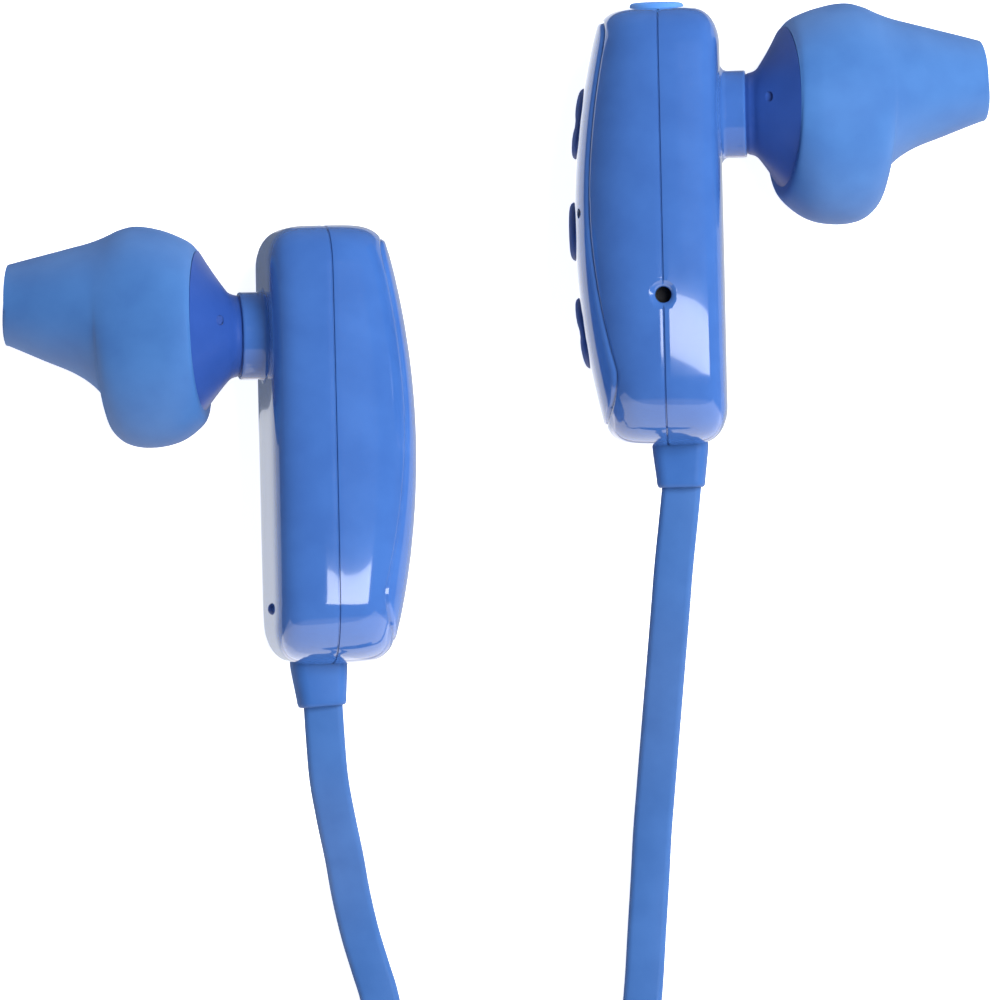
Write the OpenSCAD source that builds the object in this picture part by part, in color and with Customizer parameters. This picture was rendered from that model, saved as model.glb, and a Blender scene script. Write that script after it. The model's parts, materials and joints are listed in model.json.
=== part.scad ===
// Neckband earphones: two pods with ear buds, joined by one flat neck cable.
// They lie on their back edges: +X is the wearer's right side, +Y runs up the pods, +Z is up.
// Each pod is drawn as a right-hand pod in its own frame, u v w = x y z:
// u points to the ear, v runs up the pod, w points to its front edge. The left pod is mirrored.

/* [Pods] */
// Height of a pod
pod_height = 39.2; // [34:0.2:42]
// Depth of a pod, front edge to back edge
pod_depth = 17; // [15:0.5:20]
// From the parting line to the ear side
pod_in = 5.35; // [4.5:0.05:6]
// From the parting line to the crown of the face panel
pod_out = 8; // [7:0.1:9]
// Wall of the shells
wall = 1.2; // [0.9:0.1:1.4]
// Radius of the pod's long edges
edge_r = 3; // [2:0.25:3.5]
// Radius of the pod's ends, seen from the side
end_r = 5; // [4:0.5:6]
// Radius of the face panel's crown
bow_r = 70; // [60:1:85]

/* [Face panel] */
// Length of the face panel
panel_length = 36; // [32:0.5:37]
// Width of the face panel
panel_width = 12.8; // [11:0.2:13.5]
// Thickness of the face panel
panel_t = 1; // [0.8:0.1:1.2]

/* [Controls] */
// Distance from the middle of the pod to a volume button
volume_v = 9.35; // [9:0.05:9.8]
// Length of a volume button
volume_length = 6.4; // [5.5:0.1:7]
// Width of a volume button
volume_width = 5; // [4:0.1:5.4]
// Diameter of the play button
play_d = 5.3; // [4.5:0.1:6]
// How far the buttons stand above the panel
button_proud = 0.55; // [0.5:0.05:1]

/* [Ear bud] */
// Diameter of the stem
stem_d = 7.8; // [7:0.1:8.5]
// Length of the stem
stem_length = 2.2; // [2:0.1:3]
// Diameter of the bud at the ear tip's seam
bud_d = 14.3; // [13.5:0.1:15]
// Length of the ear tip in front of the seam
tip_length = 18.2; // [16:0.1:19]
// Diameter of the sound outlet in the ear tip
outlet_d = 4.4; // [4:0.1:4.8]
// Backward lean of the bud
bud_back = 14.5; // [10:0.5:18]

/* [Neck cable] */
// Width of the flat cable
cable_w = 3.5; // [3:0.1:4]
// Thickness of the flat cable
cable_t = 1.3; // [1:0.1:1.5]

/* [Lie] */
// Roll of the right pod, ear side up
roll_right = 2.5; // [0:0.5:8]
// Roll of the left pod, ear side up
roll_left = 8; // [2:0.5:10]

/* [Hidden] */

shell_blue = "#3f74c4";
panel_blue = "#4a80d2";
rubber_blue = "#4f86d6";
bud_blue = "#3a63b4";
steel = "silver";
big = 60;
round_fn = 64;

// Where the pods lie
right_pos = [15.45, 11.4, 9.03];
left_pos = [-14.85, -8.1, 9.15];
turn = 1.3;

// Surfaces of the outer side, all on one axis at bow_u
bow_u = bow_r - pod_out;
rim_sink = 0.2;
cavity_bow_r = bow_r - panel_t - 1;
fit_gap = 0.1;

// Places along the pod
top_v = pod_height / 2;
stem_v = 9.9;
seam_at = [10.85, 10.45, -0.75];
bud_droop = 1.4;
play_v = -0.25;
button_places = [volume_v, play_v, -volume_v];
mic_v = -6.2;
led_at = [1.25, 4.6];
nub_w = 2.2;
flange_t = 0.5;
groove_r = 3;
groove_sink = 0.2;
sheet_t = 0.5;
sheet_r = cavity_bow_r - 0.05;

// Board
board_u = -2.5;
board_t = 0.8;
board_low = -14.5;
board_high = 16.5;
board_w = 10;
board_screw_places = [-12.5, 4.3];
switch_h = 1.7;

// Port
port_u = -0.2;
cover_l = 9.4;
cover_w = 4.8;
cover_sink = 0.3;
cover_proud = 0.4;

// Ear bud
neck_length = 0.95;
neck_r = 4.05;
wire_end_u = 9.64;
nozzle_up = 8.5;
nozzle_start = [0.5, 4];
nozzle_d = 5.6;
nozzle_length = 11;
outlet_end = 13.9;
driver_d = 10;

// Strain relief
relief_u = 1;
relief_length = 3.7;
relief_flange_v = 2.3;
relief_depth = 3.6;
relief_top_w = 5;
relief_end_w = 4.4;
relief_lean = 3.5;

// Coil of the put-away cable
coil_at = [9, -92];
coil_outer_r = 21.4;
coil_height = 3.6;
coil_edge = 0.3;
tie_inner_r = 13.2;
tie_width = 4;
tie_t = 0.4;
tie_angle = -55;

// Route of the cable: x y z of its centre line, then its twist from flat to on edge, in degrees
left_route = [[-15, -31.5, 9.2, 0], [-14.8, -34.5, 9, 0], [-14.5, -38, 8.1, 0], [-13.9, -41.5, 6.4, 0],
    [-13.2, -45, 4.4, 0], [-12.6, -48.5, 2.6, 0], [-11.8, -52, 1.4, 0], [-10.9, -55, 0.9, 0],
    [-10, -58, 0.8, 0], [-9.4, -62, 1, 10], [-9.2, -66, 1.3, 28], [-9.4, -70, 1.6, 48],
    [-9.8, -75, 1.8, 68], [-10.4, -80, 1.8, 82], [-11, -85, 1.8, 90], [-11.4, -90, 1.8, 90]];
right_route = [[17, -11.9, 9, 0], [16.7, -15, 8.9, 0], [16.3, -19, 8.5, 0], [16, -23, 7.6, 0],
    [15.7, -27, 6.2, 0], [15.4, -31, 4.6, 0], [15.1, -35, 3.1, 0], [14.8, -39, 1.9, 0],
    [14.5, -43, 1.1, 0], [14.3, -47, 0.8, 0], [14, -52, 0.8, 0], [13.7, -57, 0.8, 3],
    [13.2, -61, 1.1, 18], [11.8, -65, 1.5, 40], [9.4, -68.5, 1.7, 62], [6, -71.5, 1.8, 80],
    [2.2, -73.6, 1.8, 90]];

// ---------- shared outlines ----------

// Rectangle from low to high with round corners
module round_rect(low, high, r) {
    translate([low.x + r, low.y]) square([high.x - low.x - 2 * r, high.y - low.y]);
    translate([low.x, low.y + r]) square([high.x - low.x, high.y - low.y - 2 * r]);
    for (x = [low.x + r, high.x - r], y = [low.y + r, high.y - r])
        translate([x, y]) circle(r, $fn = round_fn);
}

// Slot with round ends, length along y
module stadium(length, width) {
    square([width, length - width], center = true);
    for (s = [-1, 1]) translate([0, s * (length - width) / 2]) circle(width / 2, $fn = round_fn);
}

// Puts an outline drawn in v and w where it is pushed along u, from u = from to u = to
module along_u(from, to) {
    translate([from, 0, 0]) rotate([90, 0, 90]) linear_extrude(to - from) children();
}

// Puts an outline drawn in u and w where it is pushed along v, from v = from to v = to
module along_v(from, to) {
    translate([0, to, 0]) rotate([90, 0, 0]) linear_extrude(to - from) children();
}

// Round bow about the axis that all outer surfaces share
module bow(r) {
    translate([bow_u, 0, 0]) cylinder(r = r, h = big, center = true, $fn = 180);
}

// Pod with its faces moved in by inset, its bow at the given radius
module pod_solid(inset, r) {
    edge = edge_r - 0.6 * inset;
    half = [top_v - inset, pod_depth / 2 - inset];
    intersection() {
        linear_extrude(big, center = true)
            round_rect([inset - pod_out, -half.x], [pod_in - inset, half.x], edge);
        along_v(-big / 2, big / 2)
            round_rect([inset - pod_out, -half.y], [pod_in - inset, half.y], edge);
        along_u(-big / 2, big / 2)
            round_rect([-half.x, -half.y], [half.x, half.y], end_r - 0.8 * inset);
        bow(r);
    }
}

module pod_wall() {
    difference() {
        pod_solid(0, bow_r - rim_sink);
        pod_solid(wall, cavity_bow_r);
    }
}

// Outline of the face panel in v and w, grown by grow
module panel_outline(grow) {
    l = panel_length / 2 + grow;
    w = panel_width / 2 + grow;
    round_rect([-l, -w], [l, w], w - 0.6);
}

// Outline of one button in v and w, grown by grow
module button_outline(v, grow) {
    if (v == play_v) translate([v, 0]) circle(play_d / 2 + grow, $fn = round_fn);
    else translate([v, 0]) rotate(90) stadium(volume_length + 2 * grow, volume_width + 2 * grow);
}

// ---------- shells and panels ----------

// Opening in the bottom wall for the strain relief's neck
module relief_opening() {
    translate([relief_u - 2.1, -top_v - 1, -1.4]) cube([4.2, relief_flange_v + 0.95, 2.8]);
}

// Openings that only the pod with the controls has
module control_openings() {
    // seat of the port cover, its plug hole and the anchor's slot
    along_v(top_v - cover_sink, top_v + 2) translate([port_u, 0]) stadium(cover_l + 0.2, cover_w + 0.2);
    along_v(top_v - 3, top_v) translate([port_u, 0]) stadium(8.2, 3.4);
    along_v(top_v - 1.5, top_v + 2) translate([port_u - 1.1, -6.8]) square([2.2, 2.2]);
    // sound way of the microphone, with its shallow dimple
    translate([0, mic_v, pod_depth / 2 - 3]) cylinder(d = 1.4, h = 6, $fn = 32);
    translate([0, mic_v, pod_depth / 2 - 0.25]) cylinder(d = 2.6, h = 1, $fn = 48);
    // buttons and light pipe
    for (v = button_places) along_u(-big / 2, board_u - 0.5) button_outline(v, 0.65);
    along_u(-big / 2, board_u - 0.5) translate(led_at) circle(0.55, $fn = 32);
}

module outer_shell(controls) {
    difference() {
        pod_wall();
        along_u(0, big) square(big, center = true);
        // recess of the face panel
        difference() {
            along_u(-big / 2, 0) panel_outline(fit_gap);
            bow(bow_r - panel_t - 0.02);
        }
        if (controls) control_openings();
        relief_opening();
    }
}

module inner_shell(controls) {
    difference() {
        union() {
            difference() {
                pod_wall();
                along_u(-big, 0) square(big, center = true);
            }
            intersection() {
                at_stem() translate([0, 0, -2.2]) cylinder(d = stem_d, h = stem_length + 2.2, $fn = round_fn);
                along_u(pod_in - wall, big) square(big, center = true);
            }
            if (controls) board_posts();
        }
        at_stem() translate([0, 0, -6]) cylinder(d = 3.6, h = 20, $fn = round_fn);
        if (controls) control_openings();
        if (controls) translate([board_u - 1, 0, 0]) board_screw_holes(0.45);
        relief_opening();
    }
    if (!controls) translate([pod_in - 0.1, -14.5, nub_w]) sphere(d = 0.9, $fn = 24);
}

// Posts of the inner shell that the board is screwed to
module board_posts() {
    for (v = board_screw_places)
        along_u(board_u + board_t, pod_in - wall + 0.2) translate([v, 0]) circle(1.2, $fn = 32);
}
module board_screw_holes(r) {
    for (v = board_screw_places) along_u(0, 5.5) translate([v, 0]) circle(r, $fn = 24);
}

module face_panel(controls) {
    difference() {
        intersection() {
            along_u(-big / 2, 0) panel_outline(0);
            bow(bow_r);
        }
        bow(bow_r - panel_t);
        if (controls) {
            for (v = button_places) along_u(-big / 2, 0) button_outline(v, 0.12);
            along_u(-big / 2, 0) translate(led_at) circle(0.55, $fn = 32);
        }
    }
}

// ---------- controls ----------

module button(v) {
    color(panel_blue) {
        difference() {
            intersection() {
                along_u(-big / 2, 0) button_outline(v, 0);
                bow(bow_r + button_proud);
            }
            bow(bow_r - panel_t - 0.2);
            if (v != play_v) finger_groove(v);
        }
        difference() {
            intersection() {
                along_u(-big / 2, 0) button_outline(v, 0.5);
                bow(bow_r - panel_t - 0.05);
            }
            bow(bow_r - panel_t - 0.05 - flange_t);
        }
    }
}

// Shallow groove across a volume button, on the button's top at height v
module finger_groove(v) {
    reach = sqrt(pow(bow_r + button_proud, 2) - v * v) - bow_u;
    translate([-reach - groove_r + groove_sink, v, 0])
        cylinder(r = groove_r, h = big, center = true, $fn = 96);
}

module button_seal_sheet() color("darkslategray") {
    difference() {
        intersection() {
            along_u(-big / 2, 0) round_rect([-13.8, -5.4], [13.6, 5.4], 2);
            bow(sheet_r);
        }
        bow(sheet_r - sheet_t);
        along_u(-big / 2, 0) translate(led_at) circle(0.7, $fn = 32);
    }
    for (v = button_places)
        along_u(bow_u - sheet_r + 0.2 + v * v / 2 / sheet_r, board_u - switch_h - 0.05)
            translate([v, 0]) circle(0.8, $fn = 32);
}

module tact_switches() color("dimgray") for (v = button_places) {
    along_u(board_u - switch_h + 0.4, board_u) translate([v, 0]) square(3, center = true);
    along_u(board_u - switch_h, board_u - switch_h + 0.5) translate([v, 0]) circle(0.9, $fn = 32);
}

module main_circuit_board() color("darkgreen") difference() {
    translate([board_u, board_low, -board_w / 2]) cube([board_t, board_high - board_low, board_w]);
    translate([board_u - 1, 0, 0]) board_screw_holes(0.6);
}

module bluetooth_module() color(steel)
    translate([board_u + board_t, -9.5, -4.5]) cube([1.6, 9, 9]);

module micro_usb_socket() color(steel) difference() {
    translate([port_u - 1.3, 12.9, -3.75]) cube([2.6, 5, 7.5]);
    translate([port_u - 0.95, 13.9, -3.45]) cube([1.9, 5, 6.9]);
}

module board_screws() color(steel) for (v = board_screw_places) {
    along_u(board_u - 0.5, board_u) translate([v, 0]) circle(1, $fn = 32);
    along_u(board_u - 0.1, 1.6) translate([v, 0]) circle(0.43, $fn = 24);
}

module microphone_capsule() color("goldenrod")
    translate([0, mic_v, pod_depth / 2 - wall - 2]) cylinder(d = 3, h = 1.2, $fn = 48);

module microphone_gasket() color("black") translate([0, mic_v, pod_depth / 2 - wall - 2.2]) difference() {
    cylinder(d = 4, h = 2.15, $fn = 48);
    translate([0, 0, -1]) cylinder(d = 3.02, h = 2.4, $fn = 48);
    cylinder(d = 1.4, h = 5, $fn = 32);
}

module status_led() color("white")
    along_u(board_u - 0.6, board_u) translate(led_at) square([1.6, 0.8], center = true);

module led_light_pipe() color("white")
    along_u(-pod_out + 0.1, board_u - 0.7) translate(led_at) circle(0.5, $fn = 32);

// ---------- charging port cover ----------

module port_cover() color(rubber_blue) {
    intersection() {
        along_v(top_v - cover_sink + 0.02, top_v + cover_proud)
            translate([port_u, 0]) stadium(cover_l, cover_w);
        // crowned top
        along_u(-big / 2, big / 2)
            translate([top_v + cover_proud - 40, 0]) circle(40, $fn = 180);
    }
    along_v(top_v - 1.4, top_v - cover_sink + 0.1) translate([port_u, 0]) stadium(7.7, 2.9);
}

module port_cover_anchor() color(rubber_blue) translate([port_u, 0, 0]) {
    translate([-1, top_v - 1.4, -6.6]) cube([2, 1.1, 1.6]);
    translate([-1, top_v - 0.4, -6.6]) cube([2, 0.3, 1.7]);
}

// ---------- ear bud ----------

// Places the stem, which stands square on the pod's ear side
module at_stem() {
    translate([pod_in, stem_v, 0]) rotate([0, 90, 0]) children();
}
// Places the ear bud at the ear tip's seam: its axis is z, its up direction is y
module at_seam() {
    translate(seam_at) rotate([0, 90 + bud_back, -bud_droop]) children();
}
// Places the sound nozzle inside the ear tip
module at_nozzle() {
    at_seam() translate([0, nozzle_start.x, nozzle_start.y]) rotate([-nozzle_up, 0, 0]) children();
}

module bud_housing() color(bud_blue) difference() {
    union() {
        at_stem() translate([0, 0, stem_length + 0.1]) rotate_extrude($fn = round_fn)
            polygon([[0, 0], [3.5, 0], [3.75, 0.25], [neck_r, neck_length], [0, neck_length]]);
        hull() {
            at_stem() translate([0, 0, stem_length + 0.05 + neck_length])
                cylinder(r = neck_r, h = 0.05, $fn = round_fn);
            at_seam() translate([0, 0, -0.1]) cylinder(d = bud_d, h = 0.1, $fn = 96);
        }
    }
    // hollow behind the driver, and the wires' bore into it
    at_seam() rotate_extrude($fn = round_fn)
        polygon([[0, -1.75], [3.4, -1.75], [5.4, -0.7], [6, 0], [6, 1], [0, 1]]);
    at_stem() translate([0, 0, stem_length]) cylinder(r = 1.9, h = 2.6, $fn = round_fn);
    // vent on the front side
    at_seam() translate([-4.7, 0.8, -1.3]) rotate([0, -35, 0])
        cylinder(d = 0.8, h = 6, center = true, $fn = 24);
}

module vent_mesh() color(steel) at_seam() translate([0, 0, -1.7]) difference() {
    cylinder(d = 6.4, h = 0.2, $fn = 48);
    translate([0, 0, -1]) cylinder(d = 4, h = 3, $fn = 48);
}

module speaker_driver() color(steel) at_seam() {
    translate([0, 0, -0.4]) cylinder(d = driver_d, h = 2.2, $fn = round_fn);
    translate([0, 0, -1.2]) cylinder(d = 6.4, h = 0.9, $fn = round_fn);
    // diaphragm dome and its rim
    translate([0, 0, 1.7]) cylinder(d1 = 7, d2 = 4, h = 0.7, $fn = round_fn);
}

module driver_gasket() color("black") at_seam() translate([0, 0, 1.85]) difference() {
    cylinder(d = driver_d - 0.2, h = 0.6, $fn = round_fn);
    translate([0, 0, -1]) cylinder(d = 7.6, h = 3, $fn = round_fn);
}

module bud_front() color(bud_blue) difference() {
    union() {
        at_seam() rotate_extrude($fn = 128)
            polygon([[0, 0], [6.55, 0], [6.55, 0.8], [5.6, 4.6], [4.4, 5.6], [0, 5.6]]);
        at_nozzle() cylinder(d = nozzle_d, h = nozzle_length, $fn = round_fn);
    }
    // driver chamber
    at_seam() translate([0, 0, -1]) cylinder(d = driver_d + 0.1, h = 3.5, $fn = round_fn);
    at_seam() translate([0, 0, 2]) cylinder(d = 8, h = 2.2, $fn = round_fn);
    at_nozzle() translate([0, 0, -0.5]) cylinder(d = 3.8, h = 20, $fn = round_fn);
    at_nozzle() translate([0, 0, nozzle_length - 0.3]) cylinder(d = 4.8, h = 5, $fn = round_fn);
}

module sound_mesh() color(steel) at_nozzle() translate([0, 0, nozzle_length - 0.28])
    cylinder(d = 4.7, h = 0.2, $fn = round_fn);

// Slices of the ear tip: place ahead of the seam, centre above the axis, half height, half depth
tip_slices = [[0, -0.2, 7.4, 7.2], [3.2, -0.7, 9.65, 7.5], [5.8, -0.5, 9.9, 7.6], [8.6, -0.1, 8.5, 7.1],
    [9.7, 1.5, 6.6, 6], [13, 2.15, 5.1, 4.9], [tip_length, 2.6, 3.75, 3.6]];

module tip_slice(i) {
    s = tip_slices[i];
    thin = 0.02;
    translate([0, s[1], i == 0 ? 0.05 : s[0] - thin]) linear_extrude(thin)
        scale([s[3], s[2]]) circle(1, $fn = 32);
}

module ear_tip() color(rubber_blue) difference() {
    at_seam() for (i = [0:len(tip_slices) - 2]) hull() {
        tip_slice(i);
        tip_slice(i + 1);
    }
    // hollow over the bud's front
    at_seam() translate([0, 0, -0.5]) cylinder(r = 6.75, h = 1.5, $fn = round_fn);
    at_seam() translate([0, 0, 0.99]) cylinder(r1 = 6.75, r2 = 5.6, h = 5, $fn = round_fn);
    at_nozzle() translate([0, 0, -0.5])
        cylinder(d = nozzle_d + 0.12, h = nozzle_length + 0.6, $fn = round_fn);
    at_nozzle() cylinder(d = outlet_d, h = 20, $fn = round_fn);
    at_nozzle() translate([0, 0, outlet_end]) cylinder(d = outlet_d + 0.8, h = 5, $fn = round_fn);
}

module driver_wires() color("firebrick") for (y = [-0.6, 0.6])
    at_stem() translate([0, y, -3]) cylinder(d = 0.7, h = wire_end_u - pod_in + 3, $fn = 16);

// ---------- strain relief ----------

module strain_relief(lean) color(rubber_blue) translate([relief_u, -top_v, 0]) {
    // tapered sleeve whose top follows the pod's round end
    difference() {
        rotate([0, 0, lean]) intersection() {
            linear_extrude(big, center = true) polygon([[-relief_top_w / 2, 0.8], [relief_top_w / 2, 0.8],
                [relief_end_w / 2, -relief_length], [-relief_end_w / 2, -relief_length]]);
            along_v(-relief_length, 0.8) round_rect([-2.6, -relief_depth / 2], [2.6, relief_depth / 2], 1.2);
        }
        translate([-relief_u, top_v, 0]) pod_solid(-0.03, bow_r);
    }
    // neck in the wall and flange behind it
    translate([-2, -0.1, -1.3]) cube([4, relief_flange_v + 0.3, 2.6]);
    translate([-2.3, relief_flange_v, -2.1]) cube([4.6, 0.8, 4.2]);
}

// ---------- battery side ----------

module battery_cell() color(steel) along_v(-13.5, 11.5) round_rect([-3.1, -5.2], [1.4, 5.2], 1.2);

module battery_protection_board() color("darkgreen") translate([-3, 11.7, -4]) cube([2.6, 0.8, 8]);

module battery_foam_pad() color("black") translate([1.5, -12, -4.5]) cube([2.4, 18, 9]);

// ---------- neck cable ----------

// Section of the cable at one route point: eight corners of a flat rounded strip
function strip_corners() = let (a = cable_w / 2, b = cable_t / 2, c = 0.4)
    [[a, b - c], [a - c, b], [c - a, b], [-a, b - c], [-a, c - b], [c - a, -b], [a - c, -b], [a, c - b]];
function unit(v) = v / norm(v);
function heading(route, i) = let (n = len(route) - 1, a = route[max(i - 1, 0)], b = route[min(i + 1, n)])
    unit([b.x - a.x, b.y - a.y, b.z - a.z]);
function ring(route, i) = let (t = heading(route, i), side = unit(cross(t, [0, 0, 1])), up = cross(side, t),
        q = route[i][3], wide = side * cos(q) + up * sin(q), thin = up * cos(q) - side * sin(q))
    [for (c = strip_corners()) [route[i].x, route[i].y, route[i].z] + wide * c.x + thin * c.y];

module strip(route) {
    n = len(route);
    points = [for (i = [0:n - 1]) each ring(route, i)];
    sides = [for (i = [0:n - 2], k = [0:7]) let (a = i * 8 + k, b = i * 8 + (k + 1) % 8)
        each [[a, b, a + 8], [b, b + 8, a + 8]]];
    ends = [[for (k = [7:-1:0]) k], [for (k = [0:7]) (n - 1) * 8 + k]];
    polyhedron(points, concat(sides, ends));
}

module neck_cable_left() color(rubber_blue) strip(left_route);

module neck_cable_right() color(rubber_blue) strip(right_route);

// Places the coil's tie where it wraps the turns
module at_tie() {
    translate([coil_at.x, coil_at.y, 0]) rotate([0, 0, tie_angle]) children();
}

module neck_cable_coil() color(rubber_blue) difference() {
    translate([coil_at.x, coil_at.y, 0]) rotate_extrude($fn = 128)
        polygon([[0, 0], [coil_outer_r - coil_edge, 0], [coil_outer_r, coil_edge],
            [coil_outer_r, coil_height - coil_edge], [coil_outer_r - coil_edge, coil_height],
            [0, coil_height]]);
    at_tie() tie_block(0.02);
}

module tie_block(grow) {
    band = coil_outer_r - tie_inner_r;
    difference() {
        translate([tie_inner_r - tie_t - grow, -tie_width / 2 - grow, -1])
            cube([band + 2 * tie_t + 2 * grow, tie_width + 2 * grow, coil_height + 2]);
        translate([tie_inner_r + grow, -tie_width, tie_t + grow])
            cube([band - 2 * grow - 0.25, 2 * tie_width, coil_height - tie_t - 2 * grow]);
    }
}

module cable_tie() color("#2f5fae") intersection() {
    at_tie() tie_block(0);
    translate([coil_at.x, coil_at.y, 0]) cylinder(r = big, h = coil_height + tie_t);
}

// ---------- the two pods where they lie ----------

module at_right() {
    translate(right_pos) rotate([0, 0, turn]) rotate([0, -roll_right, 0]) children();
}
module at_left() {
    translate(left_pos) rotate([0, 0, turn]) rotate([0, roll_left, 0]) mirror([1, 0, 0]) children();
}

at_right() color(shell_blue) outer_shell(true);  // right_outer_shell
at_right() color(shell_blue) inner_shell(true);  // right_inner_shell
at_right() color(panel_blue) face_panel(true);  // right_face_panel
at_right() button(volume_v);  // volume_up_button
at_right() button(play_v);  // play_button
at_right() button(-volume_v);  // volume_down_button
at_right() button_seal_sheet();
at_right() tact_switches();
at_right() main_circuit_board();
at_right() bluetooth_module();
at_right() micro_usb_socket();
at_right() board_screws();
at_right() microphone_capsule();
at_right() microphone_gasket();
at_right() status_led();
at_right() led_light_pipe();
at_right() port_cover();
at_right() port_cover_anchor();
at_right() bud_housing();  // right_bud_housing
at_right() vent_mesh();  // right_vent_mesh
at_right() speaker_driver();  // right_speaker_driver
at_right() driver_gasket();  // right_driver_gasket
at_right() bud_front();  // right_bud_front
at_right() sound_mesh();  // right_sound_mesh
at_right() ear_tip();  // right_ear_tip
at_right() driver_wires();  // right_driver_wires
at_right() strain_relief(0);  // right_strain_relief
at_left() color(shell_blue) outer_shell(false);  // left_outer_shell
at_left() color(shell_blue) inner_shell(false);  // left_inner_shell
at_left() color(panel_blue) face_panel(false);  // left_face_panel
at_left() battery_cell();
at_left() battery_protection_board();
at_left() battery_foam_pad();
at_left() bud_housing();  // left_bud_housing
at_left() vent_mesh();  // left_vent_mesh
at_left() speaker_driver();  // left_speaker_driver
at_left() driver_gasket();  // left_driver_gasket
at_left() bud_front();  // left_bud_front
at_left() sound_mesh();  // left_sound_mesh
at_left() ear_tip();  // left_ear_tip
at_left() driver_wires();  // left_driver_wires
at_left() strain_relief(-relief_lean);  // left_strain_relief
neck_cable_left();
neck_cable_right();
neck_cable_coil();
cable_tie();
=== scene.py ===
"""Neckband earphones: the looks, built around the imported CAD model.

Lengths are in millimetres until a mesh is made. A pod has its own axes, u v w: u points to the ear,
v runs up the pod and w points to its front edge. Its parts are drawn as the right pod's and placed by Pod.
"""

import json
import math

import bmesh
import bpy
import numpy as np
from mathutils import Matrix, Vector


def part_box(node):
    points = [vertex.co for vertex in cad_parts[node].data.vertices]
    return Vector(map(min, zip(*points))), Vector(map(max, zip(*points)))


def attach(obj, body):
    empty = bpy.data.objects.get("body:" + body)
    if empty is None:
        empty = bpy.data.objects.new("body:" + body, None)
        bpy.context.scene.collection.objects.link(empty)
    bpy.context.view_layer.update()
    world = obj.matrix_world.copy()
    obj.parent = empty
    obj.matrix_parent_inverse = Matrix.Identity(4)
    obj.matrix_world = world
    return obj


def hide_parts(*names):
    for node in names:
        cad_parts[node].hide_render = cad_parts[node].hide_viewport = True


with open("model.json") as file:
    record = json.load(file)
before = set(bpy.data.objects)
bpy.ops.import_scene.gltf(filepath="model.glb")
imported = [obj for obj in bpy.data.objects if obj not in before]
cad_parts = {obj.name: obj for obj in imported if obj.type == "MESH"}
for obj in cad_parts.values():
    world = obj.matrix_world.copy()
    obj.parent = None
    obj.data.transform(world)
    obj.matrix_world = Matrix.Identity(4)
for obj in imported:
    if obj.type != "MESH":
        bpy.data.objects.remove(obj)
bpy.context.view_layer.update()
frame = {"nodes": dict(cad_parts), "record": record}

# Metres in a millimetre
MM = 0.001
record = frame["record"]

# Body of a pod
HALF_HEIGHT = 19.6
HALF_DEPTH = 8.5
EAR_SIDE = 5.35
CROWN = 7.8
BOW_R = 70.0
PANEL_PROUD = 0.16
WALL = 1.2
FRONT_CROWN = 0.05
# Half of the gap between the shells, and the points in each of their rings
PARTING_GAP = 0.055
ROUND = 288

# Buttons and other controls on the right pod: sizes are (length, width)
VOLUME_V = 9.35
PLAY_V = -0.25
BUTTONS = {"volume_up": VOLUME_V, "play": PLAY_V, "volume_down": -VOLUME_V}
VOLUME_SIZE = (6.4, 5.0)
VOLUME_OPENING = (6.64, 5.24)
PLAY_SIZE = (5.3, 5.3)
PLAY_OPENING = (5.5, 5.5)
BUTTON_PROUD = 0.55
# A button's rings: the share of its outline, and how far each lies under the top
BUTTON_RIM = [(0.1, 0), (0.3, 0), (0.5, 0.01), (0.66, 0.03), (0.78, 0.07), (0.87, 0.13), (0.94, 0.23),
              (0.985, 0.4), (1, 0.6), (1, 1.8), (0.5, 1.8)]
GROOVE_DEPTH = 0.16
LED_AT = (1.25, 4.6)
LED_HOLE = (0.9, 0.9)
MIC_V = -6.2

# Charging port in the pod's top end, and its cover
PORT_U = -0.2
COVER_PROUD = 0.42
COVER_CAP = (9.4, 4.8)
COVER_SEAT = (9.6, 5.0)
COVER_PLUG = (7.7, 2.9)
SOCKET_POCKET = (8.2, 3.4)
ANCHOR_W = -5.7
ABOVE_POD = 22

# Tactile nub on the left pod's ear side
NUB_V = -14.5
NUB_W = 2.2

# Ear bud: s runs along the bud's axis from the ear tip's seam, y upward and x toward the pod's back
STEM_V = 9.9
STEM_R = 3.9
STEM_LENGTH = 2.2
NECK_U = EAR_SIDE + STEM_LENGTH + 0.1
NECK_R = 4.05
SEAM_AT = (10.85, 10.45, -0.75)
BUD_BACK = 14.5
BUD_DROOP = 1.4
BUD_R = 7.15
NOZZLE_START = (0.5, 4.0)
NOZZLE_UP = 8.5
TIP_LENGTH = 18.2
VENT_AT = (9.7, 11.25)
VENT_SIZE = (0.9, 0.66)
VENT_DEPTH = 0.3
# How each side's tip differs: its mouth's bend upward, its stretch and the whole tip's lift
TIP_BEND = {"right": -0.1, "left": 0.3}
TIP_REACH = {"right": 0.0, "left": -0.05}
TIP_LIFT = {"right": 0.0, "left": 0.2}

# Strain reliefs; a section is its height over the pod's lower end, width, depth and corner radius
RELIEF_U = 1.0
RELIEF_LEAN = {"right": 0, "left": -3.5}
RELIEF_SECTIONS = [
    (0.9, 5.0, 3.6, 1.1), (0, 5.0, 3.6, 1.1), (-0.6, 4.9, 3.56, 1.1),
    (-2.9, 4.36, 3.4, 1.05), (-3.3, 4.3, 3.4, 1.05), (-3.55, 4.18, 3.3, 1.0),
    (-3.68, 3.98, 3.06, 0.95), (-3.72, 3.75, 2.8, 0.9), (-3.6, 3.6, 1.4, 0.6),
]

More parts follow.
